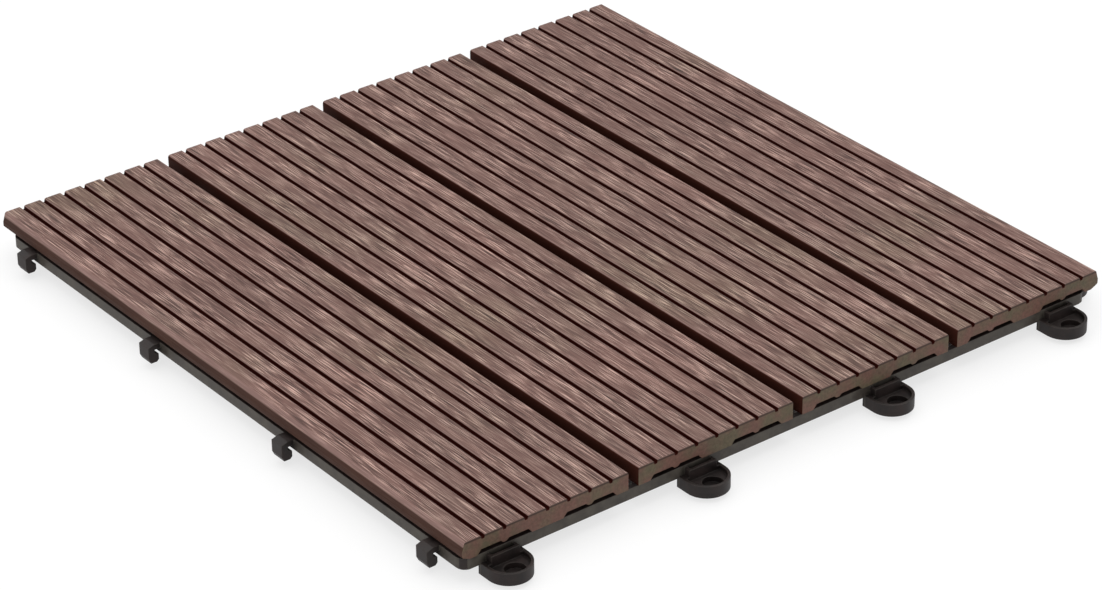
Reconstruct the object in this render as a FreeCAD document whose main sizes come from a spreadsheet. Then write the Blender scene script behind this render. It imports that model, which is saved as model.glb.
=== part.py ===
import FreeCAD, Part
import Sketcher
import math
import os

# Interlocking deck tile. Four grooved composite slats are screwed from below to a moulded lattice base.
# Millimetres, +Z up. The origin is on the floor, under the centre of the field of slats.
# Slats run along Y. Loops stand out of the base on -Y and +X, and pegs on +Y and -X.

SLAT_NAMES = ["slat_1", "slat_2", "slat_3", "slat_4"]
GROOVES_PER_SLAT = 7
LATTICE_CELLS = 10
CONNECTORS_PER_SIDE = 4
SCREWS_PER_SLAT = 2
LEG_ROWS = [-4, -2, -1, 0, 1, 2, 4]
LEGS_BESIDE_SCREWS = [-3, -2, 0, 2, 3]
SHANK_SIDES = 8
HEAD_SIDES = 6

# Driving dimensions: alias, value in mm, meaning
DRIVING = [
    ("tile_edge", 300.0, "slat length, and width over the outer slats' sides"),
    ("tile_height", 18.0, "floor to the top of the ribs"),
    ("slat_thickness", 7.5, "land to rib top"),
    ("slat_gap", 4.5, "gap between slats"),
    ("joint_gap", 6.0, "gap between joined tiles, so that a peg drops past the next tile's slats"),
    ("side_bulge", 1.25, "how far an outer side leans out"),
    ("side_belly_low", 1.5, "lower edge of the upright band of an outer side, above the land"),
    ("side_belly_high", 3.5, "upper edge of that band"),
    ("side_undercut", 3.4, "width of the bevel under an outer side"),
    ("side_round", 1.0, "rounding along an outer side"),
    ("groove_pitch", 9.25, "spacing of the grooves"),
    ("groove_width", 1.8, "width of a groove"),
    ("groove_floor", 1.2, "width of a groove's floor"),
    ("groove_depth", 1.5, "depth of a groove below the rib top"),
    ("rib_bevel", 0.45, "width of the bevel along a rib's edges"),
    ("rib_drop", 0.3, "fall of that bevel"),
    ("recess_width", 23.5, "width of each hollow under a slat"),
    ("recess_depth", 1.9, "depth of each hollow under a slat"),
    ("recess_slope", 1.6, "run of the hollow's sloped ends"),
    ("land_width", 13.5, "width of the middle land that takes the screws"),
    ("bead_width", 3.6, "width of the bead in the middle of a hollow"),
    ("bead_crest", 1.4, "width of the bead's crest"),
    ("bead_height", 0.9, "height of that bead"),
    ("base_edge", 294.5, "length of the base's rim on each side"),
    ("flush_inset", 0.3, "inset of the rim on the -X and -Y sides"),
    ("rim_height", 4.8, "height of the rim and of the lattice"),
    ("rim_wall", 2.2, "thickness of the rim"),
    ("rim_round", 4.0, "corner radius of the rim"),
    ("rim_bevel", 0.5, "bevel round the rim's lower edge"),
    ("rib_wall", 1.6, "thickness of the lattice's ribs"),
    ("leg_width", 6.0, "width of a leg, on all four sides"),
    ("connector_pitch", 87.4, "spacing of the loops and of the pegs"),
    ("loop_lift", 2.0, "height of the loops above the floor"),
    ("loop_thickness", 4.8, "thickness of a loop"),
    ("loop_length", 13.4, "how far a loop stands out of the rim"),
    ("loop_radius", 8.6, "radius of a loop's round end"),
    ("loop_rim", 1.1, "width of the raised rim round a loop"),
    ("loop_recess", 1.6, "depth of the recess inside that rim"),
    ("loop_floor", 0.8, "floor left under a loop's socket"),
    ("neck_width", 12.4, "width of a loop's neck"),
    ("neck_depth", 3.0, "how far a neck stands out of the rim"),
    ("neck_drop", 0.9, "neck top below the base top"),
    ("neck_wall", 1.2, "wall of the hollow neck"),
    ("peg_width", 6.3, "width of a peg along its side of the tile"),
    ("peg_thickness", 2.7, "thickness of a peg's shank"),
    ("peg_gap", 2.7, "gap between the rim and a peg's shank"),
    ("peg_barb", 1.7, "reach of the barb at a peg's foot"),
    ("peg_barb_height", 3.2, "height of the barb"),
    ("peg_slope", 0.9, "fall of the peg's sloped faces"),
    ("peg_arm", 2.2, "height of the arm between the rim and a peg"),
    ("socket_clearance", 0.1, "clearance round a peg in a loop's socket"),
    ("foot_clearance", 0.2, "clearance under a peg in a loop's socket"),
    ("boss_width", 12.0, "width of the hollow leg round a screw, on all four sides"),
    ("boss_wall", 1.8, "wall of that leg"),
    ("screw_row", 3.0, "screw row, in lattice cells from the middle"),
    ("shank_radius", 1.5, "radius of a screw's shank"),
    ("head_radius", 3.6, "radius of a screw's head over its corners"),
    ("head_height", 2.0, "height of a screw's head"),
    ("screw_bite", 5.0, "length of a screw inside a slat"),
    ("screw_clearance", 0.25, "clearance round a screw in its boss"),
]

# Sizes that follow from the driving ones: alias, formula, meaning
DERIVED = [
    ("base_top", "tile_height - slat_thickness", "top of the base, where the slats lie"),
    ("rim_bottom", "base_top - rim_height", "underside of the rim"),
    ("slat_width", "(tile_edge - 2 * side_bulge - 3 * slat_gap) / 4", "width of a slat's top"),
    ("slat_pitch", "slat_width + slat_gap", "spacing of the slats"),
    ("base_shift", "flush_inset + (base_edge - tile_edge) / 2", "base centre from the tile centre"),
    ("cell_pitch", "(base_edge - 2 * rim_wall + rib_wall) / %d" % LATTICE_CELLS, "lattice spacing"),
    ("cell_width", "cell_pitch - rib_wall", "clear width of a lattice cell"),
    ("rim_face", "base_edge / 2", "rim face from the base centre"),
    ("peg_inner", "peg_gap - peg_barb", "barb tip from the rim face"),
    ("peg_outer", "peg_gap + peg_thickness", "outer face of a peg from the rim face"),
    ("socket_reach", "tile_edge + joint_gap - base_edge - (peg_inner + peg_outer) / 2",
     "socket centre from the rim face, where a joined tile's peg comes down"),
    ("socket_radius", "sqrt(peg_width ^ 2 + (peg_outer - peg_inner) ^ 2) / 2 + socket_clearance",
     "socket radius, round a peg's corners"),
    ("loop_top", "loop_lift + loop_thickness", "top of a loop"),
    ("socket_floor", "loop_lift + loop_floor", "floor of a socket"),
    ("peg_foot", "socket_floor + foot_clearance", "underside of a peg"),
    ("neck_top", "base_top - neck_drop", "top of a neck"),
    ("screw_offset", "screw_row * cell_pitch", "screw rows from the base centre"),
    ("head_bottom", "rim_bottom - head_height", "underside of a screw's head"),
    ("screw_top", "base_top + screw_bite", "tip of a screw"),
]

doc = FreeCAD.newDocument("deck_tile")
sheet = doc.addObject("Spreadsheet::Sheet", "Sizes")


def fillSheet():
    row = 1
    aliases = [entry[0] for entry in DRIVING] + [entry[0] for entry in DERIVED]
    for alias, value, meaning in DRIVING:
        sheet.set("A%d" % row, meaning)
        sheet.set("B%d" % row, str(value))
        sheet.setAlias("B%d" % row, alias)
        row += 1
    for alias, formula, meaning in DERIVED:
        sheet.set("A%d" % row, meaning)
        sheet.set("B%d" % row, "=" + formula)
        sheet.setAlias("B%d" % row, alias)
        row += 1
    doc.recompute()
    return aliases


aliases = fillSheet()
size = {alias: float(sheet.get(alias)) for alias in aliases}


def cells(formula):
    # Turns "rim_face + peg_gap" into the sheet's own names
    words = []
    word = ""
    for letter in formula + " ":
        if letter.isalnum() or letter in "_.":
            word += letter
            continue
        words.append("Sizes." + word if word in size else word)
        words.append(letter)
        word = ""
    return "".join(words).strip()


def number(formula):
    value = sheet.evalExpression(cells(formula))
    return float(value.Value) if hasattr(value, "Value") else float(value)


def newBody(name, x="0", y="0", z="0"):
    body = doc.addObject("PartDesign::Body", name)
    body.Label = name
    for axis, formula in zip("xyz", (x, y, z)):
        body.setExpression("Placement.Base." + axis, cells(formula))
    return body


def originFeature(body, role):
    return [item for item in body.Origin.OriginFeatures if item.Role == role][0]


def newSketch(body, name, role="XY_Plane", lift="0"):
    sketch = body.newObject("Sketcher::SketchObject", name)
    sketch.AttachmentSupport = [(originFeature(body, role), "")]
    sketch.MapMode = "FlatFace"
    sketch.setExpression("AttachmentOffset.Base.z", cells(lift))
    return sketch


def bindPoint(sketch, geometry, position, x, y):
    # Both coordinates of a point follow the sheet
    for kind, formula in (("DistanceX", x), ("DistanceY", y)):
        value = number(formula)
        index = sketch.addConstraint(Sketcher.Constraint(kind, -1, 1, geometry, position, value))
        sketch.setExpression("Constraints[%d]" % index, cells(formula))


def near(value, target, within=1e-4):
    return abs(value - target) < within


def arcCentre(start, end, radius, turn):
    middle = (start + end) / 2
    half = (end - start) / 2
    rise = math.sqrt(max(radius ** 2 - half.Length ** 2, 0.0))
    side = FreeCAD.Vector(-half.y, half.x, 0).normalize()
    return middle + side * rise * turn


def drawOutline(sketch, corners):
    # Corner: (x, y), or (x, y, radius, turn) where an arc leads on to the next corner
    # A turn of 1 has the arc's centre on the left of its chord, and -1 on the right
    # The radius "half" makes a half circle on a level or upright chord
    spots = [FreeCAD.Vector(number(c[0]), number(c[1]), 0) for c in corners]
    ends = []
    for i, corner in enumerate(corners):
        start = spots[i]
        end = spots[(i + 1) % len(spots)]
        if len(corner) == 2:
            line = sketch.addGeometry(Part.LineSegment(start, end), False)
            ends.append((line, 1, 2))
            continue
        half = corner[2] == "half"
        radius = (end - start).Length / 2 if half else number(corner[2])
        centre = arcCentre(start, end, radius, corner[3])
        first, last = (start, end) if corner[3] > 0 else (end, start)
        angles = [math.atan2(p.y - centre.y, p.x - centre.x) for p in (first, last)]
        circle = Part.Circle(centre, FreeCAD.Vector(0, 0, 1), radius)
        arc = sketch.addGeometry(Part.ArcOfCircle(circle, angles[0], angles[1]), False)
        ends.append((arc, 1, 2) if corner[3] > 0 else (arc, 2, 1))
        if half:
            kind = "Horizontal" if near(start.y, end.y) else "Vertical"
            sketch.addConstraint(Sketcher.Constraint(kind, arc, 3, arc, 1))
            continue
        index = sketch.addConstraint(Sketcher.Constraint("Radius", arc, radius))
        sketch.setExpression("Constraints[%d]" % index, cells(corner[2]))
    for i, corner in enumerate(corners):
        before = ends[i - 1]
        here = ends[i]
        sketch.addConstraint(Sketcher.Constraint("Coincident", before[0], before[2], here[0], here[1]))
        bindPoint(sketch, here[0], here[1], corner[0], corner[1])


def drawBox(sketch, x, y, width, length):
    left = "%s - (%s) / 2" % (x, width)
    right = "%s + (%s) / 2" % (x, width)
    front = "%s - (%s) / 2" % (y, length)
    back = "%s + (%s) / 2" % (y, length)
    drawOutline(sketch, [(left, front), (right, front), (right, back), (left, back)])


def drawPolygon(sketch, x, y, radius, sides):
    turn = 360 / sides
    angles = [turn * (i + 0.5) for i in range(sides)]
    drawOutline(sketch, [
        ("%s + (%s) * cos(%g)" % (x, radius, angle), "%s + (%s) * sin(%g)" % (y, radius, angle))
        for angle in angles])


def drawCircle(sketch, x, y, radius):
    centre = FreeCAD.Vector(number(x), number(y), 0)
    circle = Part.Circle(centre, FreeCAD.Vector(0, 0, 1), number(radius))
    geometry = sketch.addGeometry(circle, False)
    bindPoint(sketch, geometry, 3, x, y)
    index = sketch.addConstraint(Sketcher.Constraint("Radius", geometry, number(radius)))
    sketch.setExpression("Constraints[%d]" % index, cells(radius))


def pad(body, sketch, length, midplane=False):
    feature = body.newObject("PartDesign::Pad", sketch.Name.replace("Outline", "Pad"))
    feature.Profile = sketch
    feature.setExpression("Length", cells(length))
    feature.Midplane = midplane
    doc.recompute()
    return feature


def pocket(body, sketch, length, upwards=False, midplane=False):
    before = body.Shape.Volume
    feature = body.newObject("PartDesign::Pocket", sketch.Name.replace("Outline", "Pocket"))
    feature.Profile = sketch
    feature.setExpression("Length", cells(length))
    feature.Reversed = upwards
    feature.Midplane = midplane
    doc.recompute()
    if body.Shape.Volume >= before:
        raise RuntimeError(feature.Label + " removes nothing")
    return feature


def linearStep(body, name, role, step, count):
    # One direction of a repeat
    pattern = body.newObject("PartDesign::LinearPattern", name)
    pattern.Direction = (originFeature(body, role), [""])
    pattern.Occurrences = count
    pattern.setExpression("Length", cells("(%s) * %d" % (step, count - 1)))
    return pattern


def repeat(body, name, originals, steps, turn=False):
    # steps: (axis role, spacing, count); turn adds a second copy, a quarter turn round the middle
    multi = body.newObject("PartDesign::MultiTransform", name)
    multi.Originals = originals
    parts = []
    for i, (role, step, count) in enumerate(steps):
        parts.append(linearStep(body, "%sStep%d" % (name, i + 1), role, step, count))
    if turn:
        polar = body.newObject("PartDesign::PolarPattern", name + "Turn")
        polar.Axis = (originFeature(body, "Z_Axis"), [""])
        polar.Angle = 90
        polar.Occurrences = 2
        parts.append(polar)
    multi.Transformations = parts
    body.Tip = multi
    doc.recompute()
    return multi


def edgesWhere(feature, test):
    return ["Edge%d" % (i + 1) for i, edge in enumerate(feature.Shape.Edges) if test(edge)]


def alongAxis(edge, axis):
    if len(edge.Vertexes) < 2:
        return False
    span = edge.Vertexes[1].Point - edge.Vertexes[0].Point
    return abs(abs(span.getAngle(axis) - math.pi / 2) - math.pi / 2) < 1e-6


def roundEdges(body, kind, feature, names, radius, label):
    rounding = body.newObject("PartDesign::" + kind, label)
    rounding.Base = (feature, names)
    rounding.setExpression("Radius" if kind == "Fillet" else "Size", cells(radius))
    doc.recompute()
    return rounding


# Slats: one extruded section, with the leaning side only on the outer slats
def makeSlat(index, name):
    across = "(%d - %g) * slat_pitch" % (index, (len(SLAT_NAMES) - 1) / 2)
    body = newBody(name, across, "0", "base_top")
    leanLeft = 1 if index == 0 else 0
    leanRight = 1 if index == len(SLAT_NAMES) - 1 else 0

    board = newSketch(body, "BoardOutline", "XZ_Plane")
    drawOutline(board, [
        ("-slat_width / 2 + %d * (side_undercut - side_bulge)" % leanLeft, "0"),
        ("slat_width / 2 - %d * (side_undercut - side_bulge)" % leanRight, "0"),
        ("slat_width / 2 + %d * side_bulge" % leanRight, "side_belly_low"),
        ("slat_width / 2 + %d * side_bulge" % leanRight, "side_belly_high"),
        ("slat_width / 2", "slat_thickness"),
        ("-slat_width / 2", "slat_thickness"),
        ("-slat_width / 2 - %d * side_bulge" % leanLeft, "side_belly_high"),
        ("-slat_width / 2 - %d * side_bulge" % leanLeft, "side_belly_low"),
    ])
    boardPad = pad(body, board, "tile_edge", True)
    half = size["slat_width"] / 2

    def isRounded(edge):
        if not alongAxis(edge, FreeCAD.Vector(0, 1, 0)):
            return False
        spot = edge.Vertexes[0].Point
        top = near(spot.z, size["slat_thickness"]) and near(abs(spot.x), half)
        belly = near(abs(spot.x), half + size["side_bulge"])
        return top or belly

    roundEdges(body, "Fillet", boardPad, edgesWhere(boardPad, isRounded), "side_round", "SideRound")

    groove = newSketch(body, "GrooveOutline", "XZ_Plane")
    top = "slat_thickness"
    outer = "groove_width / 2 + rib_bevel"
    first = "-%g * groove_pitch" % ((GROOVES_PER_SLAT - 1) / 2)
    drawOutline(groove, [
        (first + " - (" + outer + ")", top),
        (first + " - groove_width / 2", top + " - rib_drop"),
        (first + " - groove_floor / 2", top + " - groove_depth"),
        (first + " + groove_floor / 2", top + " - groove_depth"),
        (first + " + groove_width / 2", top + " - rib_drop"),
        (first + " + " + outer, top),
        (first + " + " + outer, top + " + groove_depth"),
        (first + " - (" + outer + ")", top + " + groove_depth"),
    ])
    groovePocket = pocket(body, groove, "tile_edge + 2 * slat_gap", midplane=True)
    repeat(body, "Grooves", [groovePocket], [("X_Axis", "groove_pitch", GROOVES_PER_SLAT)])

    recess = newSketch(body, "RecessOutline", "XZ_Plane")
    middle = "(land_width + recess_width) / 2"
    drawOutline(recess, [
        (middle + " - recess_width / 2", "-recess_depth"),
        (middle + " + recess_width / 2", "-recess_depth"),
        (middle + " + recess_width / 2", "0"),
        (middle + " + recess_width / 2 - recess_slope", "recess_depth"),
        (middle + " + bead_width / 2", "recess_depth"),
        (middle + " + bead_crest / 2", "recess_depth - bead_height"),
        (middle + " - bead_crest / 2", "recess_depth - bead_height"),
        (middle + " - bead_width / 2", "recess_depth"),
        (middle + " - recess_width / 2 + recess_slope", "recess_depth"),
        (middle + " - recess_width / 2", "0"),
    ])
    recessPocket = pocket(body, recess, "tile_edge + 2 * slat_gap", midplane=True)
    mirror = body.newObject("PartDesign::Mirrored", "OtherRecess")
    mirror.Originals = [recessPocket]
    mirror.MirrorPlane = (originFeature(body, "YZ_Plane"), [""])
    body.Tip = mirror
    doc.recompute()

    pilot = newSketch(body, "PilotOutline", "XY_Plane")
    drawPolygon(pilot, "0", "base_shift - screw_offset", "shank_radius", SHANK_SIDES)
    pilotPocket = pocket(body, pilot, "screw_bite", upwards=True)
    repeat(body, "Pilots", [pilotPocket], [("Y_Axis", "2 * screw_offset", SCREWS_PER_SLAT)])
    return body


# Base: rim, lattice, feet, screw bosses, loops and pegs, moulded in one
def makeBase():
    body = newBody("base", "base_shift", "base_shift", "0")

    plate = newSketch(body, "PlateOutline", lift="rim_bottom")
    drawBox(plate, "0", "0", "base_edge", "base_edge")
    platePad = pad(body, plate, "rim_height")
    corners = edgesWhere(platePad, lambda edge: alongAxis(edge, FreeCAD.Vector(0, 0, 1)))
    rounded = roundEdges(body, "Fillet", platePad, corners, "rim_round", "RimCorners")
    lower = edgesWhere(rounded, lambda edge: near(edge.BoundBox.ZMax, size["rim_bottom"]))
    roundEdges(body, "Chamfer", rounded, lower, "rim_bevel", "RimBevel")

    addLoops(body)
    addPegs(body)
    addLegs(body)

    cell = newSketch(body, "CellOutline", lift="rim_bottom")
    firstCell = "-cell_pitch * %g" % ((LATTICE_CELLS - 1) / 2)
    drawBox(cell, firstCell, firstCell, "cell_width", "cell_width")
    cellPocket = pocket(body, cell, "rim_height", upwards=True)
    steps = [(role, "cell_pitch", LATTICE_CELLS) for role in ("X_Axis", "Y_Axis")]
    repeat(body, "Lattice", [cellPocket], steps)

    addBosses(body)
    return body


def addLegs(body):
    # Short square legs under the crossings, left out where the screws' own hollow legs stand
    columns = LATTICE_CELLS - 1
    leg = newSketch(body, "LegOutline")
    firstColumn = "-cell_pitch * %g" % ((columns - 1) / 2)
    for row in LEG_ROWS:
        drawBox(leg, firstColumn, "cell_pitch * %d" % row, "leg_width", "leg_width")
    legPad = pad(body, leg, "rim_bottom")
    repeat(body, "Legs", [legPad], [("X_Axis", "cell_pitch", columns)])

    between = newSketch(body, "LegsBesideScrewsOutline")
    for column in LEGS_BESIDE_SCREWS:
        for row in ("-screw_offset", "screw_offset"):
            drawBox(between, "cell_pitch * %d" % column, row, "leg_width", "leg_width")
    pad(body, between, "rim_bottom")


def addBosses(body):
    # Hollow square legs, whose ceiling takes the screw heads
    spots = [(spot, row) for spot in slatRow() for row in ("-screw_offset", "screw_offset")]
    boss = newSketch(body, "BossOutline")
    hollow = newSketch(body, "BossHollowOutline")
    through = newSketch(body, "ScrewHoleOutline", lift="rim_bottom")
    for x, y in spots:
        drawBox(boss, x, y, "boss_width", "boss_width")
        drawBox(hollow, x, y, "boss_width - 2 * boss_wall", "boss_width - 2 * boss_wall")
        drawPolygon(through, x, y, "shank_radius + screw_clearance", SHANK_SIDES)
    pad(body, boss, "base_top")
    pocket(body, hollow, "rim_bottom", upwards=True)
    pocket(body, through, "rim_height", upwards=True)


def slatRow():
    # Slat centres as seen from the base's own centre
    middle = (len(SLAT_NAMES) - 1) / 2
    return ["%g * slat_pitch - base_shift" % (i - middle) for i in range(len(SLAT_NAMES))]


def connectorRow():
    middle = (CONNECTORS_PER_SIDE - 1) / 2
    return ["%g * connector_pitch" % (i - middle) for i in range(CONNECTORS_PER_SIDE)]


def onBothSides(corners):
    # Corners drawn for the -Y side, and the same a quarter turn on, for the +X side
    turned = [("-(%s)" % corner[1], corner[0]) + tuple(corner[2:]) for corner in corners]
    return [corners, turned]


def drawAlong(sketch, makeCorners):
    for along in connectorRow():
        for corners in onBothSides(makeCorners(along)):
            drawOutline(sketch, corners)


def boxCorners(along, halfWidth, outer, inner):
    left = along + " - (" + halfWidth + ")"
    right = along + " + " + halfWidth
    return [(left, outer), (right, outer), (right, inner), (left, inner)]


def tongueCorners(along, radius, root, bend):
    # Straight sides from the root to the bend, then a half circle
    left = along + " - (" + radius + ")"
    right = along + " + " + radius
    return [(right, root), (left, root), (left, bend, "half", 1), (right, bend)]


def addLoops(body):
    # Hollow neck, then a round-ended tongue with a recess and a blind socket for the next tile's peg
    bend = "-rim_face - loop_length + loop_radius"
    reach = "-rim_face - socket_reach"
    face = "-rim_face - neck_depth"
    root = "-rim_face + rim_wall / 2"
    neck = newSketch(body, "NeckOutline", lift="loop_lift")
    drawAlong(neck, lambda along: boxCorners(along, "neck_width / 2", face, root))
    pad(body, neck, "neck_top - loop_lift")

    tongue = newSketch(body, "TongueOutline", lift="loop_lift")
    drawAlong(tongue, lambda along: tongueCorners(along, "loop_radius", root, bend))
    pad(body, tongue, "loop_thickness")

    slit = newSketch(body, "SlitOutline", lift="loop_top")
    inner = "neck_width / 2 - neck_wall"
    drawAlong(slit, lambda along: boxCorners(along, inner, face + " + neck_wall", "-rim_face"))
    pocket(body, slit, "neck_top - loop_top", upwards=True)

    recess = newSketch(body, "LoopRecessOutline", lift="loop_top - loop_recess")
    drawAlong(recess, lambda along: tongueCorners(along, "loop_radius - loop_rim", face, bend))
    pocket(body, recess, "loop_recess", upwards=True)

    socket = newSketch(body, "SocketOutline", lift="socket_floor")
    for along in connectorRow():
        for spot in onBothSides([(along, reach)]):
            drawCircle(socket, spot[0][0], spot[0][1], "socket_radius")
    pocket(body, socket, "loop_top - loop_recess - socket_floor", upwards=True)


def addPegs(body):
    # Section across the +Y side: arm, shank, sloped head and barbed foot
    peg = newSketch(body, "PegOutline", "YZ_Plane", lift=connectorRow()[0])
    root = "rim_face - rim_wall / 2"
    shank = "rim_face + peg_gap"
    face = "rim_face + peg_outer"
    barb = "rim_face + peg_inner"
    barbTop = "peg_foot + peg_barb_height"
    drawOutline(peg, [
        (root, "base_top - peg_arm"),
        (shank, "base_top - peg_arm"),
        (shank, barbTop + " + peg_slope"),
        (barb, barbTop),
        (barb, "peg_foot + peg_slope"),
        (barb + " + peg_slope", "peg_foot"),
        (face + " - peg_slope", "peg_foot"),
        (face, "peg_foot + 2 * peg_slope"),
        (face, "base_top - peg_slope"),
        (shank, "base_top"),
        (root, "base_top"),
    ])
    pegPad = pad(body, peg, "peg_width", True)
    repeat(body, "Pegs", [pegPad], [("X_Axis", "connector_pitch", CONNECTORS_PER_SIDE)], turn=True)


# Screws: eight alike, in one group
def makeScrews():
    body = newBody("screws", "-%g * slat_pitch" % ((len(SLAT_NAMES) - 1) / 2), "base_shift - screw_offset")
    body.AllowCompound = True
    head = newSketch(body, "HeadOutline", lift="head_bottom")
    drawPolygon(head, "0", "0", "head_radius", HEAD_SIDES)
    headPad = pad(body, head, "head_height")
    shank = newSketch(body, "ShankOutline", lift="head_bottom")
    drawPolygon(shank, "0", "0", "shank_radius", SHANK_SIDES)
    shankPad = pad(body, shank, "screw_top - head_bottom")
    steps = [("X_Axis", "slat_pitch", len(SLAT_NAMES)), ("Y_Axis", "2 * screw_offset", SCREWS_PER_SLAT)]
    repeat(body, "Screws", [headPad, shankPad], steps)
    return body


bodies = [makeSlat(index, name) for index, name in enumerate(SLAT_NAMES)]
bodies.append(makeBase())
bodies.append(makeScrews())
doc.recompute()


def checkModel():
    for item in doc.Objects:
        if "Invalid" in item.State or "Error" in item.State:
            raise RuntimeError(item.Label + " did not compute")
    for body in bodies:
        if body.Shape.isNull() or not body.Shape.isValid():
            raise RuntimeError(body.Label + " has no valid shape")


checkModel()
os.makedirs("parts", exist_ok=True)
for body in bodies:
    body.Shape.exportStep(os.path.join("parts", body.Label + ".step"))
    box = body.Shape.BoundBox
    print("%-8s solids %d volume %.0f mm3 box %.2f %.2f %.2f to %.2f %.2f %.2f" % (
        body.Label, len(body.Shape.Solids), body.Shape.Volume,
        box.XMin, box.YMin, box.ZMin, box.XMax, box.YMax, box.ZMax))
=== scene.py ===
import bpy
import math
from mathutils import Matrix, Vector


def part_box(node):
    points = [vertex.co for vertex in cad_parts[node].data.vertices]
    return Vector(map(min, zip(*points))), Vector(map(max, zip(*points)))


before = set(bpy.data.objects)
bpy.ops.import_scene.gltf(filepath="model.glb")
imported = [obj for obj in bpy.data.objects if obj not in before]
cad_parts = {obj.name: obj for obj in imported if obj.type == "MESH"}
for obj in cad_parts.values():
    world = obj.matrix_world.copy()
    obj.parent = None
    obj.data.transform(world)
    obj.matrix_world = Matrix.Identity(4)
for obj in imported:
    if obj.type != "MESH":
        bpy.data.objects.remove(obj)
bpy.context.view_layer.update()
print("frame loaded")

mm = 0.001

# Heights and planes of the tile that the finishes follow, in mm
tile = {
    "top": 18.0,
    "grooveShadeFrom": 17.79,  # the painted groove shade begins here, on a rib's bevel
    "grooveShadeTo": 17.55,  # to here
    "sideShadeFrom": 16.5,  # the outer side's painted shade begins here
    "sideShadeTo": 15.7,  # to here
    "underside": 13.5,  # what lies lower belongs to a slat's underside
    "outerFrom": 148.4,  # the outer sides begin this far from the middle
    "wallSkin": 0.5,  # how far in from its edge a slat counts as wall
    "rimLow": -149.7,
    "rimHigh": 144.8,
    "rimNear": 0.35,
}

# Nearly all of a noise lies between these two
noiseLow, noiseHigh = 0.3, 0.7

# Sockets of a Mix node that share a name
numberA, numberB, numberOut = 2, 3, 0
colourA, colourB, colourOut = 6, 7, 2


def linearColour(code):
    # "#rrggbb" in sRGB to linear RGBA
    parts = [int(code[i:i + 2], 16) / 255 for i in (1, 3, 5)]
    linear = [p / 12.92 if p <= 0.04045 else ((p + 0.055) / 1.055) ** 2.4 for p in parts]
    return (*linear, 1.0)


def addNode(tree, kind, settings=None, inputs=None):
    node = tree.nodes.new(kind)
    for name, value in (settings or {}).items():
        setattr(node, name, value)
    for name, value in (inputs or {}).items():
        if isinstance(value, bpy.types.NodeSocket):
            tree.links.new(value, node.inputs[name])
        else:
            node.inputs[name].default_value = value
    return node


def newMaterial(name):
    material = bpy.data.materials.new(name)
    material.use_nodes = True
    material.node_tree.nodes.clear()
    return material, material.node_tree


def finishMaterial(tree, shader):
    addNode(tree, "ShaderNodeOutputMaterial", inputs={"Surface": shader})


def setRamp(ramp, positions, codes):
    elements = ramp.color_ramp.elements
    while len(elements) < len(positions):
        elements.new(0.5)
    for element, position, code in zip(elements, positions, codes):
        element.position = position
        element.color = linearColour(code)


def dress(node, material):
    node.data.materials.clear()
    node.data.materials.append(material)


# Slats of wood and plastic composite, extruded, brushed and sawn to length. Brushing gives the
# ribs fine light and dark hairlines, the grooves are painted nearly black as shade and dirt, and
# the sawn ends are plainer, with patches of red and olive brown
slatLook = {
    "tone": "#6c5048",
    "streakDark": "#33221d",
    "streakLight": "#c4a698",
    "tintRed": "#fffafb",
    "tintNone": "#ffffff",
    "tintOlive": "#f8fff6",
    # Painted highlight on a rib's bevel, beside each groove
    "ribEdgeHighlight": "#896c65",
    # Painted shade and dirt, nearly black, in the grooves
    "grooveShadeTone": "#2d0a05",
    # Painted shade on the walls beside the gaps
    "gapShadeTone": "#391c15",
    "underTone": "#5a4239",
    "endTone": "#64473d",
    "endOlive": "#574d3b",
    # A pale burr, partly a painted highlight, and a painted shadow line under it, on a sawn end
    "endBurrHighlight": "#765e56",
    "endShadowLine": "#2d1c17",
    # Painted shade on the outer side, below its arris
    "sideShadeTone": "#36221a",
    # Marks: mm across, mm along the slat, detail, and a shift that sets each apart
    "streak": (0.3, 20.0, 1.0, 0.0),
    "fibre": (0.22, 10.0, 1.0, 2.3),
    "band": (2.2, 60.0, 2.0, 3.1),
    "patch": (9.0, 30.0, 2.0, 5.7),
    "cloud": (70.0, 70.0, 1.0, 8.2),
    "tint": (55.0, 55.0, 2.0, 7.4),
    "sideMottle": (9.0, 30.0, 3.0, 6.6),
    "endMottle": (9.0, 9.0, 3.0, 1.9),
    "saw": (1.1, 1.1, 4.0, 4.4),
    "markRoughness": 0.5,
    "slatShift": 11.3,
    "shiftAlong": 0.37,
    # How dark and how light each mark makes its place
    "bandShade": (0.87, 1.13),
    "cloudShade": (0.92, 1.08),
    "sideShade": (0.75, 1.25),
    "sawShade": (0.82, 1.18),
    # Where in a noise each colour sits
    "streakStops": (0.39, 0.48, 0.53, 0.61),
    "patchStops": (0.36, 0.6),
    "tintStops": (0.40, 0.50, 0.66),
    "endStops": (0.38, 0.62),
    "patchLeast": 0.35,
    # The painted highlight on a rib's bevel, in mm below the top
    "highlightFrom": 0.02,
    "highlightTo": 0.1,
    "highlightShare": 0.7,
    # How far the outer side is painted darker as shade
    "sideShadeShare": 0.9,
    # A sawn end's pale burr, partly a painted highlight, and the painted shadow line under it,
    # within so many mm of the top
    "burrLightAndShadeDepth": 1.4,
    "burrLightAndShadeStops": (0.12, 0.28, 0.60, 1.00),
    "burrLightAndShadeFade": (0.5, 0.95),
    "burrLightAndShadeShare": 0.85,
    "endFacing": 0.7,
    "roughness": (0.78, 0.55),
    "sheen": (0.3, 0.04),  # brushed or sawn, and raw
    "reliefStrength": 0.7,
    "reliefDepth": 0.14,
    "edgeRound": 0.3,
    "edgeSamples": 4,
}


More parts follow.
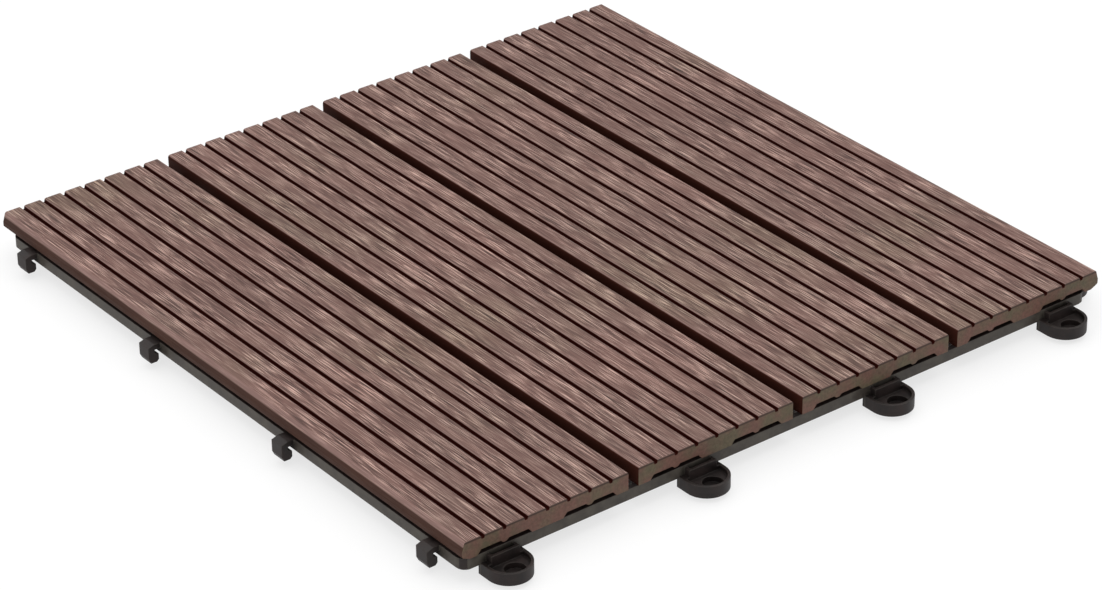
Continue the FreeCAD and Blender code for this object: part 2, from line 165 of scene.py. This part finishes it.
def stretchedNoise(tree, place, marks, offset):
    width, length, detail, shift = marks
    start = offset + shift
    placed = addNode(tree, "ShaderNodeMapping", inputs={
        "Vector": place, "Location": (start, start * slatLook["shiftAlong"], 0.0),
        "Scale": (1 / (width * mm), 1 / (length * mm), 1 / (width * mm))})
    noise = addNode(tree, "ShaderNodeTexNoise", inputs={
        "Vector": placed.outputs["Vector"], "Scale": 1.0,
        "Detail": detail, "Roughness": slatLook["markRoughness"]})
    return noise.outputs["Fac"]


def ribTone(tree, place, height, streak, offset):
    # Light and dark hairlines, strong in some patches and faint in others, redder here and more
    # olive there, with a painted highlight where the rib turns down into the groove
    look = slatLook
    band = stretchedNoise(tree, place, look["band"], offset)
    patch = stretchedNoise(tree, place, look["patch"], offset)
    cloud = stretchedNoise(tree, place, look["cloud"], offset)
    hairlines = addNode(tree, "ShaderNodeValToRGB", inputs={"Fac": streak})
    setRamp(hairlines, look["streakStops"], [
        look["streakDark"], look["tone"], look["tone"], look["streakLight"]])
    patchAmount = addNode(tree, "ShaderNodeMapRange", inputs={
        "Value": patch, "From Min": look["patchStops"][0], "From Max": look["patchStops"][1],
        "To Min": look["patchLeast"], "To Max": 1.0})
    grained = addNode(tree, "ShaderNodeMix", {"data_type": "RGBA"}, {
        "Factor": patchAmount.outputs["Result"],
        colourA: linearColour(look["tone"]), colourB: hairlines.outputs["Color"]})
    bandShade = addNode(tree, "ShaderNodeMapRange", inputs={
        "Value": band, "From Min": noiseLow, "From Max": noiseHigh,
        "To Min": look["bandShade"][0], "To Max": look["bandShade"][1]})
    cloudShade = addNode(tree, "ShaderNodeMapRange", inputs={
        "Value": cloud, "From Min": noiseLow, "From Max": noiseHigh,
        "To Min": look["cloudShade"][0], "To Max": look["cloudShade"][1]})
    shade = addNode(tree, "ShaderNodeMath", {"operation": "MULTIPLY"}, {
        0: bandShade.outputs["Result"], 1: cloudShade.outputs["Result"]})
    shaded = addNode(tree, "ShaderNodeVectorMath", {"operation": "SCALE"}, {
        0: grained.outputs[colourOut], "Scale": shade.outputs["Value"]})
    tintCloud = stretchedNoise(tree, place, look["tint"], offset)
    tint = addNode(tree, "ShaderNodeValToRGB", inputs={"Fac": tintCloud})
    setRamp(tint, look["tintStops"], [look["tintRed"], look["tintNone"], look["tintOlive"]])
    tinted = addNode(tree, "ShaderNodeMix", {"data_type": "RGBA", "blend_type": "MULTIPLY"}, {
        "Factor": 1.0, colourA: shaded.outputs["Vector"], colourB: tint.outputs["Color"]})
    # Painted highlight: a pale line on the rib's bevel
    turned = addNode(tree, "ShaderNodeMapRange", inputs={
        "Value": height,
        "From Min": (tile["top"] - look["highlightFrom"]) * mm,
        "From Max": (tile["top"] - look["highlightTo"]) * mm,
        "To Min": 0.0, "To Max": look["highlightShare"]})
    edgeHighlighted = addNode(tree, "ShaderNodeMix", {"data_type": "RGBA"}, {
        "Factor": turned.outputs["Result"],
        colourA: tinted.outputs[colourOut], colourB: linearColour(look["ribEdgeHighlight"])})
    return edgeHighlighted.outputs[colourOut]


def lowTone(tree, place, axes, offset, low, high):
    # Colour and share of what lies below the ribs: grooves painted nearly black as shade and
    # dirt, the walls beside the gaps painted dark red-brown as shade, the underside plain brown
    # and the outer side painted a dull dark brown under its arris as shade
    look = slatLook
    height = axes.outputs["Z"]
    aside = addNode(tree, "ShaderNodeMath", {"operation": "ABSOLUTE"}, {0: axes.outputs["X"]})
    outer = addNode(tree, "ShaderNodeMath", {"operation": "GREATER_THAN"}, {
        0: aside.outputs["Value"], 1: tile["outerFrom"] * mm})
    middle = addNode(tree, "ShaderNodeMath", {"operation": "COMPARE"}, {
        0: axes.outputs["X"],
        1: (low + high) / 2, 2: (high - low) / 2 - tile["wallSkin"] * mm})
    isUnder = addNode(tree, "ShaderNodeMath", {"operation": "LESS_THAN"}, {
        0: height, 1: tile["underside"] * mm})
    grooveShadeOrUnder = addNode(tree, "ShaderNodeMix", {"data_type": "RGBA"}, {
        "Factor": isUnder.outputs["Value"],
        colourA: linearColour(look["grooveShadeTone"]), colourB: linearColour(look["underTone"])})
    # Painted shade: the walls beside the gaps take a dark red-brown
    wallShadeOrMiddle = addNode(tree, "ShaderNodeMix", {"data_type": "RGBA"}, {
        "Factor": middle.outputs["Value"],
        colourA: linearColour(look["gapShadeTone"]), colourB: grooveShadeOrUnder.outputs[colourOut]})
    # Painted shade and dirt: the grooves turn nearly black below the rib's bevel
    grooveShade = addNode(tree, "ShaderNodeMapRange", {"interpolation_type": "SMOOTHSTEP"}, {
        "Value": height, "From Min": tile["grooveShadeFrom"] * mm, "From Max": tile["grooveShadeTo"] * mm,
        "To Min": 0.0, "To Max": 1.0})
    # Painted shade on the outer side, darker below its arris
    side = addNode(tree, "ShaderNodeMapRange", {"interpolation_type": "SMOOTHSTEP"}, {
        "Value": height, "From Min": tile["sideShadeFrom"] * mm, "From Max": tile["sideShadeTo"] * mm,
        "To Min": 0.0, "To Max": look["sideShadeShare"]})
    share = addNode(tree, "ShaderNodeMix", {"data_type": "FLOAT"}, {
        "Factor": outer.outputs["Value"],
        numberA: grooveShade.outputs["Result"], numberB: side.outputs["Result"]})
    mottle = stretchedNoise(tree, place, look["sideMottle"], offset)
    sideShade = addNode(tree, "ShaderNodeMapRange", inputs={
        "Value": mottle, "From Min": noiseLow, "From Max": noiseHigh,
        "To Min": look["sideShade"][0], "To Max": look["sideShade"][1]})
    sideShadeColour = addNode(tree, "ShaderNodeVectorMath", {"operation": "SCALE"}, {
        0: linearColour(look["sideShadeTone"])[:3], "Scale": sideShade.outputs["Result"]})
    colour = addNode(tree, "ShaderNodeMix", {"data_type": "RGBA"}, {
        "Factor": outer.outputs["Value"],
        colourA: wallShadeOrMiddle.outputs[colourOut], colourB: sideShadeColour.outputs["Vector"]})
    return share.outputs[numberOut], colour.outputs[colourOut]


def endTone(tree, place, height, offset):
    # Reddish brown mottled with olive, a pale burr on the top edge that is partly a painted
    # highlight, and a painted shadow line under it
    look = slatLook
    mottle = stretchedNoise(tree, place, look["endMottle"], offset)
    saw = stretchedNoise(tree, place, look["saw"], offset)
    mottled = addNode(tree, "ShaderNodeValToRGB", inputs={"Fac": mottle})
    setRamp(mottled, look["endStops"], [look["endTone"], look["endOlive"]])
    sawShade = addNode(tree, "ShaderNodeMapRange", inputs={
        "Value": saw, "From Min": noiseLow, "From Max": noiseHigh,
        "To Min": look["sawShade"][0], "To Max": look["sawShade"][1]})
    sawn = addNode(tree, "ShaderNodeVectorMath", {"operation": "SCALE"}, {
        0: mottled.outputs["Color"], "Scale": sawShade.outputs["Result"]})
    below = addNode(tree, "ShaderNodeMapRange", inputs={
        "Value": height,
        "From Min": tile["top"] * mm, "From Max": (tile["top"] - look["burrLightAndShadeDepth"]) * mm,
        "To Min": 0.0, "To Max": 1.0})
    # Painted highlight with some real burr on the top edge, then a painted shadow line under it
    burrLightAndShade = addNode(tree, "ShaderNodeValToRGB", inputs={"Fac": below.outputs["Result"]})
    setRamp(burrLightAndShade, look["burrLightAndShadeStops"], [
        look["endBurrHighlight"], look["endShadowLine"], look["endShadowLine"], look["endTone"]])
    burrLightAndShadeShare = addNode(tree, "ShaderNodeMapRange", {"interpolation_type": "SMOOTHSTEP"}, {
        "Value": below.outputs["Result"],
        "From Min": look["burrLightAndShadeFade"][0], "From Max": look["burrLightAndShadeFade"][1],
        "To Min": look["burrLightAndShadeShare"], "To Max": 0.0})
    colour = addNode(tree, "ShaderNodeMix", {"data_type": "RGBA"}, {
        "Factor": burrLightAndShadeShare.outputs["Result"],
        colourA: sawn.outputs["Vector"], colourB: burrLightAndShade.outputs["Color"]})
    return colour.outputs[colourOut]


def slatMaterial(name, index, low, high):
    material, tree = newMaterial(name)
    look = slatLook
    offset = look["slatShift"] * index
    place = addNode(tree, "ShaderNodeTexCoord").outputs["Object"]
    axes = addNode(tree, "ShaderNodeSeparateXYZ", inputs={"Vector": place})
    height = axes.outputs["Z"]
    shape = addNode(tree, "ShaderNodeNewGeometry")
    facing = addNode(tree, "ShaderNodeSeparateXYZ", inputs={
        "Vector": shape.outputs["True Normal"]})
    endAmount = addNode(tree, "ShaderNodeMath", {"operation": "ABSOLUTE"}, {
        0: facing.outputs["Y"]})
    endMask = addNode(tree, "ShaderNodeMath", {"operation": "GREATER_THAN"}, {
        0: endAmount.outputs["Value"], 1: look["endFacing"]})

    streaks = stretchedNoise(tree, place, look["streak"], offset)
    fibres = stretchedNoise(tree, place, look["fibre"], offset)
    both = addNode(tree, "ShaderNodeMath", {"operation": "ADD"}, {0: streaks, 1: fibres})
    half = addNode(tree, "ShaderNodeMath", {"operation": "MULTIPLY"}, {
        0: both.outputs["Value"], 1: 0.5})
    streak = half.outputs["Value"]
    rib = ribTone(tree, place, height, streak, offset)
    lowShare, lowColour = lowTone(tree, place, axes, offset, low, high)
    along = addNode(tree, "ShaderNodeMix", {"data_type": "RGBA"}, {
        "Factor": lowShare, colourA: rib, colourB: lowColour})
    colour = addNode(tree, "ShaderNodeMix", {"data_type": "RGBA"}, {
        "Factor": endMask.outputs["Value"],
        colourA: along.outputs[colourOut], colourB: endTone(tree, place, height, offset)})

    roughness = addNode(tree, "ShaderNodeMapRange", inputs={
        "Value": streak, "From Min": noiseLow, "From Max": noiseHigh,
        "To Min": look["roughness"][0], "To Max": look["roughness"][1]})
    rounded = addNode(tree, "ShaderNodeBevel", {"samples": look["edgeSamples"]}, {
        "Radius": look["edgeRound"] * mm})
    bump = addNode(tree, "ShaderNodeBump", inputs={
        "Strength": look["reliefStrength"], "Distance": look["reliefDepth"] * mm,
        "Height": streak, "Normal": rounded.outputs["Normal"]})
    # The brushed ribs and sawn ends have a faint sheen, the raw rest hardly any
    raw = addNode(tree, "ShaderNodeMath", {"operation": "SUBTRACT", "use_clamp": True}, {
        0: lowShare, 1: endMask.outputs["Value"]})
    sheen = addNode(tree, "ShaderNodeMapRange", inputs={
        "Value": raw.outputs["Value"], "From Min": 0.0, "From Max": 1.0,
        "To Min": look["sheen"][0], "To Max": look["sheen"][1]})
    shader = addNode(tree, "ShaderNodeBsdfPrincipled", inputs={
        "Base Color": colour.outputs[colourOut], "Roughness": roughness.outputs["Result"],
        "Normal": bump.outputs["Normal"], "Specular IOR Level": sheen.outputs["Result"]})
    finishMaterial(tree, shader.outputs["BSDF"])
    return material


slatNames = sorted(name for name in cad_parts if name.startswith("slat_"))
for index, name in enumerate(slatNames):
    low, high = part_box(name)
    finish = slatMaterial("brushedWoodPlastic" + str(index + 1), index, low[0], high[0])
    dress(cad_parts[name], finish)
print("slats dressed")

# Moulded polypropylene base, nearly black on loops, pegs and inside, with the rim's upright
# outer faces painted lighter olive-grey as sheen, and handling rubs the corners paler
baseLook = {
    # Painted sheen: the rim's upright outer faces are lighter
    "rimSheenTone": "#322c27",
    "rimSheenLight": "#4a453e",
    "darkTone": "#140e0d",
    "darkLight": "#271d1b",
    "wornTone": "#605a51",
    "mottleSize": 6.0,
    "mottleDetail": 4.0,
    "mottleRoughness": 0.6,
    "mottleStops": (0.35, 0.68),
    "speckSize": 0.5,
    "speckDetail": 2.0,
    "speckRoughness": 0.5,
    "uprightLimit": 0.5,
    # The rounded normal's agreement with the flat one, where rubbing starts and is full
    "wornAgree": (0.98, 0.8),
    "wornShare": 0.35,
    # Openness of a place where the painted shade and dirt are darkest and where there are none
    "shadeAndDirtOpen": (0.15, 0.85),
    "shadeAndDirtDarkest": 0.35,
    "shadeAndDirtReach": 5.0,
    "shadeAndDirtSamples": 6,
    "roughness": (0.45, 0.6),
    "sheen": 0.3,
    "reliefStrength": 0.5,
    "reliefDepth": 0.05,
    "edgeRound": 0.45,
    "edgeSamples": 4,
}


def rimSheenMask(tree, axes, facing):
    # 1 where the painted sheen goes, on the rim's upright outer faces, 0 on the loops and pegs
    # beyond it and on all inside
    masks = []
    for axis in ("X", "Y"):
        for plane in (tile["rimLow"], tile["rimHigh"]):
            onPlane = addNode(tree, "ShaderNodeMath", {"operation": "COMPARE"}, {
                0: axes.outputs[axis], 1: plane * mm, 2: tile["rimNear"] * mm})
            masks.append(onPlane.outputs["Value"])
    total = masks[0]
    for mask in masks[1:]:
        joined = addNode(tree, "ShaderNodeMath", {"operation": "MAXIMUM"}, {0: total, 1: mask})
        total = joined.outputs["Value"]
    tilt = addNode(tree, "ShaderNodeMath", {"operation": "ABSOLUTE"}, {0: facing.outputs["Z"]})
    upright = addNode(tree, "ShaderNodeMath", {"operation": "LESS_THAN"}, {
        0: tilt.outputs["Value"], 1: baseLook["uprightLimit"]})
    masked = addNode(tree, "ShaderNodeMath", {"operation": "MULTIPLY"}, {
        0: total, 1: upright.outputs["Value"]})
    return masked.outputs["Value"]


def baseMaterial():
    material, tree = newMaterial("mouldedPolypropylene")
    look = baseLook
    place = addNode(tree, "ShaderNodeTexCoord").outputs["Object"]
    axes = addNode(tree, "ShaderNodeSeparateXYZ", inputs={"Vector": place})
    shape = addNode(tree, "ShaderNodeNewGeometry")
    facing = addNode(tree, "ShaderNodeSeparateXYZ", inputs={
        "Vector": shape.outputs["True Normal"]})
    mottle = addNode(tree, "ShaderNodeTexNoise", inputs={
        "Vector": place, "Scale": 1 / (look["mottleSize"] * mm),
        "Detail": look["mottleDetail"], "Roughness": look["mottleRoughness"]})
    speck = addNode(tree, "ShaderNodeTexNoise", inputs={
        "Vector": place, "Scale": 1 / (look["speckSize"] * mm),
        "Detail": look["speckDetail"], "Roughness": look["speckRoughness"]})
    dark = addNode(tree, "ShaderNodeValToRGB", inputs={"Fac": mottle.outputs["Fac"]})
    setRamp(dark, look["mottleStops"], [look["darkTone"], look["darkLight"]])
    # Painted sheen on the rim's upright outer faces
    rimSheen = addNode(tree, "ShaderNodeValToRGB", inputs={"Fac": mottle.outputs["Fac"]})
    setRamp(rimSheen, look["mottleStops"], [look["rimSheenTone"], look["rimSheenLight"]])
    mouldedWithSheen = addNode(tree, "ShaderNodeMix", {"data_type": "RGBA"}, {
        "Factor": rimSheenMask(tree, axes, facing),
        colourA: dark.outputs["Color"], colourB: rimSheen.outputs["Color"]})

    # Rubbed corners: where the rounded normal turns away from the flat one
    rounded = addNode(tree, "ShaderNodeBevel", {"samples": look["edgeSamples"]}, {
        "Radius": look["edgeRound"] * mm})
    agree = addNode(tree, "ShaderNodeVectorMath", {"operation": "DOT_PRODUCT"}, {
        0: rounded.outputs["Normal"], 1: shape.outputs["True Normal"]})
    worn = addNode(tree, "ShaderNodeMapRange", inputs={
        "Value": agree.outputs["Value"],
        "From Min": look["wornAgree"][0], "From Max": look["wornAgree"][1],
        "To Min": 0.0, "To Max": look["wornShare"]})
    rubbed = addNode(tree, "ShaderNodeMix", {"data_type": "RGBA"}, {
        "Factor": worn.outputs["Result"],
        colourA: mouldedWithSheen.outputs[colourOut], colourB: linearColour(look["wornTone"])})
    # Painted shade and dirt, darker where the base's own corners close in; the floor and the
    # slats don't count
    cavity = addNode(tree, "ShaderNodeAmbientOcclusion",
                     {"samples": look["shadeAndDirtSamples"], "only_local": True},
                     {"Distance": look["shadeAndDirtReach"] * mm})
    openness = addNode(tree, "ShaderNodeMapRange", inputs={
        "Value": cavity.outputs["AO"],
        "From Min": look["shadeAndDirtOpen"][0], "From Max": look["shadeAndDirtOpen"][1],
        "To Min": look["shadeAndDirtDarkest"], "To Max": 1.0})
    colour = addNode(tree, "ShaderNodeVectorMath", {"operation": "SCALE"}, {
        0: rubbed.outputs[colourOut], "Scale": openness.outputs["Result"]})
    roughness = addNode(tree, "ShaderNodeMapRange", inputs={
        "Value": mottle.outputs["Fac"], "From Min": noiseLow, "From Max": noiseHigh,
        "To Min": look["roughness"][0], "To Max": look["roughness"][1]})
    bump = addNode(tree, "ShaderNodeBump", inputs={
        "Strength": look["reliefStrength"], "Distance": look["reliefDepth"] * mm,
        "Height": speck.outputs["Fac"], "Normal": rounded.outputs["Normal"]})
    shader = addNode(tree, "ShaderNodeBsdfPrincipled", inputs={
        "Base Color": colour.outputs["Vector"], "Roughness": roughness.outputs["Result"],
        "Normal": bump.outputs["Normal"], "Specular IOR Level": look["sheen"]})
    finishMaterial(tree, shader.outputs["BSDF"])
    return material


dress(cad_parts["base"], baseMaterial())
print("base dressed")

# Zinc-plated steel screws: bright plating with faint dull stains, which break up its reflections
screwLook = {
    "tone": "#b9b7ae",
    "toneDull": "#8d8a80",
    "stainSize": 1.6,
    "stainDetail": 3.0,
    "stainRoughness": 0.6,
    "stainStops": (0.4, 0.7),
    "roughness": (0.28, 0.5),
    "reliefStrength": 0.3,
    "reliefDepth": 0.02,
}


def screwMaterial():
    material, tree = newMaterial("zincPlatedSteel")
    look = screwLook
    place = addNode(tree, "ShaderNodeTexCoord").outputs["Object"]
    stain = addNode(tree, "ShaderNodeTexNoise", inputs={
        "Vector": place, "Scale": 1 / (look["stainSize"] * mm),
        "Detail": look["stainDetail"], "Roughness": look["stainRoughness"]})
    tone = addNode(tree, "ShaderNodeValToRGB", inputs={"Fac": stain.outputs["Fac"]})
    setRamp(tone, look["stainStops"], [look["tone"], look["toneDull"]])
    roughness = addNode(tree, "ShaderNodeMapRange", inputs={
        "Value": stain.outputs["Fac"], "From Min": noiseLow, "From Max": noiseHigh,
        "To Min": look["roughness"][0], "To Max": look["roughness"][1]})
    bump = addNode(tree, "ShaderNodeBump", inputs={
        "Strength": look["reliefStrength"], "Distance": look["reliefDepth"] * mm,
        "Height": stain.outputs["Fac"]})
    shader = addNode(tree, "ShaderNodeBsdfPrincipled", inputs={
        "Base Color": tone.outputs["Color"], "Metallic": 1.0,
        "Roughness": roughness.outputs["Result"], "Normal": bump.outputs["Normal"]})
    finishMaterial(tree, shader.outputs["BSDF"])
    return material


dress(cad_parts["screws"], screwMaterial())
print("screws dressed")

# Studio: white card under an even sky, a large soft light overhead and a weak one from the left.
# Sizes are in metres, apart from those under the tile, which are in mm
studio = {
    "white": "#ffffff",
    "floorSize": 8.0,
    "floorTone": "#f9f9f9",
    "floorPale": "#fdfdfd",
    "toothScale": 2.5,
    "toothDetail": 2.0,
    "shadowShare": 0.28,  # how much of the real shadow is kept near the tile
    "fadeFrom": 0.18,
    "fadeTo": 0.45,
    "underTile": 138.0,
    "underBlend": 3.0,
    "skyStrength": 0.65,
    "overheadPower": 26.0,
    "overheadSize": 2.8,
    "overheadPlace": (0.25, 0.35, 1.7),
    "sidePower": 4.4,
    "sideSize": 1.2,
    "sidePlace": (-1.5, -0.5, 0.7),
}


def seenDirectly(tree):
    # 1 for what the camera sees, in a reflection or through glass too, 0 for light on the object
    path = addNode(tree, "ShaderNodeLightPath")
    mirrored = addNode(tree, "ShaderNodeMath", {"operation": "MAXIMUM"}, {
        0: path.outputs["Is Glossy Ray"], 1: path.outputs["Is Transmission Ray"]})
    seen = addNode(tree, "ShaderNodeMath", {"operation": "MAXIMUM"}, {
        0: path.outputs["Is Camera Ray"], 1: mirrored.outputs["Value"]})
    return seen.outputs["Value"]


def floorMaterial():
    # Matt white card, seen partly as plain white so that the shadow is pale, and fully so far
    # away. Under the tile it stays as dark as it is, for the gaps. From below it is clear,
    # so that the underside can be looked at
    material, tree = newMaterial("whiteCard")
    place = addNode(tree, "ShaderNodeTexCoord").outputs["Object"]
    tooth = addNode(tree, "ShaderNodeTexNoise", inputs={
        "Vector": place, "Scale": studio["toothScale"], "Detail": studio["toothDetail"]})
    tone = addNode(tree, "ShaderNodeValToRGB", inputs={"Fac": tooth.outputs["Fac"]})
    setRamp(tone, (noiseLow, noiseHigh), [studio["floorTone"], studio["floorPale"]])
    card = addNode(tree, "ShaderNodeBsdfDiffuse", inputs={"Color": tone.outputs["Color"]})
    white = addNode(tree, "ShaderNodeEmission", inputs={
        "Color": linearColour(studio["white"]), "Strength": 1.0})

    flat = addNode(tree, "ShaderNodeVectorMath", {"operation": "ABSOLUTE"}, {0: place})
    axes = addNode(tree, "ShaderNodeSeparateXYZ", inputs={"Vector": flat.outputs["Vector"]})
    away = addNode(tree, "ShaderNodeMath", {"operation": "MAXIMUM"}, {
        0: axes.outputs["X"], 1: axes.outputs["Y"]})
    beside = addNode(tree, "ShaderNodeMapRange", {"interpolation_type": "SMOOTHSTEP"}, {
        "Value": away.outputs["Value"],
        "From Min": (studio["underTile"] - studio["underBlend"]) * mm,
        "From Max": (studio["underTile"] + studio["underBlend"]) * mm,
        "To Min": 0.0, "To Max": 1.0 - studio["shadowShare"]})
    beyond = addNode(tree, "ShaderNodeMapRange", {"interpolation_type": "SMOOTHSTEP"}, {
        "Value": away.outputs["Value"],
        "From Min": studio["fadeFrom"], "From Max": studio["fadeTo"],
        "To Min": 0.0, "To Max": 1.0})
    share = addNode(tree, "ShaderNodeMath", {"operation": "MAXIMUM"}, {
        0: beside.outputs["Result"], 1: beyond.outputs["Result"]})
    seenShare = addNode(tree, "ShaderNodeMath", {"operation": "MULTIPLY"}, {
        0: share.outputs["Value"], 1: seenDirectly(tree)})
    above = addNode(tree, "ShaderNodeMixShader", inputs={
        "Fac": seenShare.outputs["Value"], 1: card.outputs["BSDF"], 2: white.outputs["Emission"]})
    below = addNode(tree, "ShaderNodeBsdfTransparent")
    side = addNode(tree, "ShaderNodeNewGeometry")
    shader = addNode(tree, "ShaderNodeMixShader", inputs={
        "Fac": side.outputs["Backfacing"], 1: above.outputs["Shader"], 2: below.outputs["BSDF"]})
    finishMaterial(tree, shader.outputs["Shader"])
    return material


def addFloor():
    bpy.ops.mesh.primitive_plane_add(size=studio["floorSize"], location=(0, 0, 0))
    floor = bpy.context.object
    floor.name = "floor"
    dress(floor, floorMaterial())


def addSoftLight(name, place, size, power):
    light = bpy.data.lights.new(name, "AREA")
    light.shape = "SQUARE"
    light.size = size
    light.energy = power
    lamp = bpy.data.objects.new(name, light)
    lamp.location = place
    lamp.rotation_euler = Vector(place).to_track_quat("Z", "Y").to_euler()
    bpy.context.scene.collection.objects.link(lamp)


def setWorld():
    world = bpy.data.worlds.new("studioWorld")
    world.use_nodes = True
    tree = world.node_tree
    tree.nodes.clear()
    strength = addNode(tree, "ShaderNodeMapRange", inputs={
        "Value": seenDirectly(tree), "To Min": studio["skyStrength"], "To Max": 1.0})
    sky = addNode(tree, "ShaderNodeBackground", inputs={
        "Color": linearColour(studio["white"]), "Strength": strength.outputs["Result"]})
    addNode(tree, "ShaderNodeOutputWorld", inputs={"Surface": sky.outputs["Background"]})
    bpy.context.scene.world = world


addFloor()
for lampName in ("overhead", "side"):
    addSoftLight(lampName + "Softbox", studio[lampName + "Place"],
                 studio[lampName + "Size"], studio[lampName + "Power"])
setWorld()
print("studio set")

# Camera, worked out from the photo's corners, groove lines and slat ends
cameraSet = {
    "azimuth": -37.44,
    "elevation": 29.79,
    "roll": -0.73,
    "target": (-0.0229, -0.0354, 0.018),
    "distance": 1.471,
    "sensor": 36.0,
    "lens": 128.25,
}


def addCamera():
    azimuth = math.radians(cameraSet["azimuth"])
    elevation = math.radians(cameraSet["elevation"])
    back = Vector((
        math.sin(azimuth) * math.cos(elevation),
        -math.cos(azimuth) * math.cos(elevation),
        math.sin(elevation)))
    data = bpy.data.cameras.new("photoCamera")
    data.sensor_width = cameraSet["sensor"]
    data.lens = cameraSet["lens"]
    camera = bpy.data.objects.new("photoCamera", data)
    turn = back.to_track_quat("Z", "Y").to_matrix().to_4x4()
    roll = Matrix.Rotation(math.radians(cameraSet["roll"]), 4, "Z")
    place = Matrix.Translation(Vector(cameraSet["target"]) + back * cameraSet["distance"])
    camera.matrix_world = place @ turn @ roll
    bpy.context.scene.collection.objects.link(camera)
    bpy.context.scene.camera = camera


addCamera()
bpy.context.scene.view_settings.view_transform = "Standard"
print("camera set")
